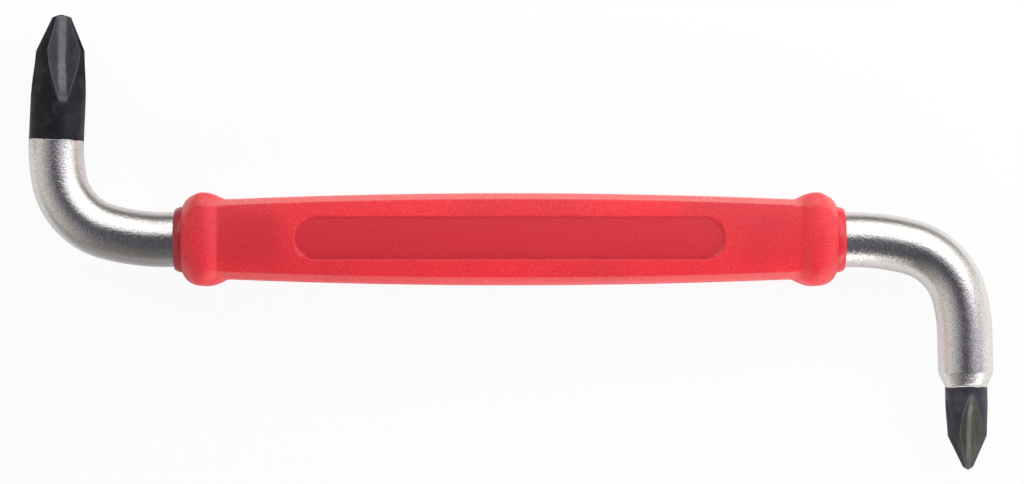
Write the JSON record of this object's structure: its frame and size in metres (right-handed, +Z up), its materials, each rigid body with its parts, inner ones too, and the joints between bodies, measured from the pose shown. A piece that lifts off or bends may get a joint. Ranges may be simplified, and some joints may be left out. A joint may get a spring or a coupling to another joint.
{
  "type": "offset screwdriver",
  "caption": "Z-shaped offset screwdriver: a round plated steel bar bent at both ends to black cross-point tips, keyed into a flanged red plastic grip with a sunk panel.",
  "frame": {"origin": "on the table under the middle of the grip, with the tool lying flat", "axes": "+X along the grip towards the small point, +Y in the plane of the bends towards the large point's nose, +Z up from the table"},
  "size_m": [0.1054, 0.0498, 0.0098],
  "materials": {
    "plated_steel": "satin nickel plate, with both points burnished black",
    "collar_red": "smooth moulded",
    "grip_red": "fine moulded pebble, satin"
  },
  "bodies": {
    "root": {"bent_bar": "plated_steel", "inner_sleeve": "collar_red", "grip": "grip_red"}
  },
  "joints": []
}
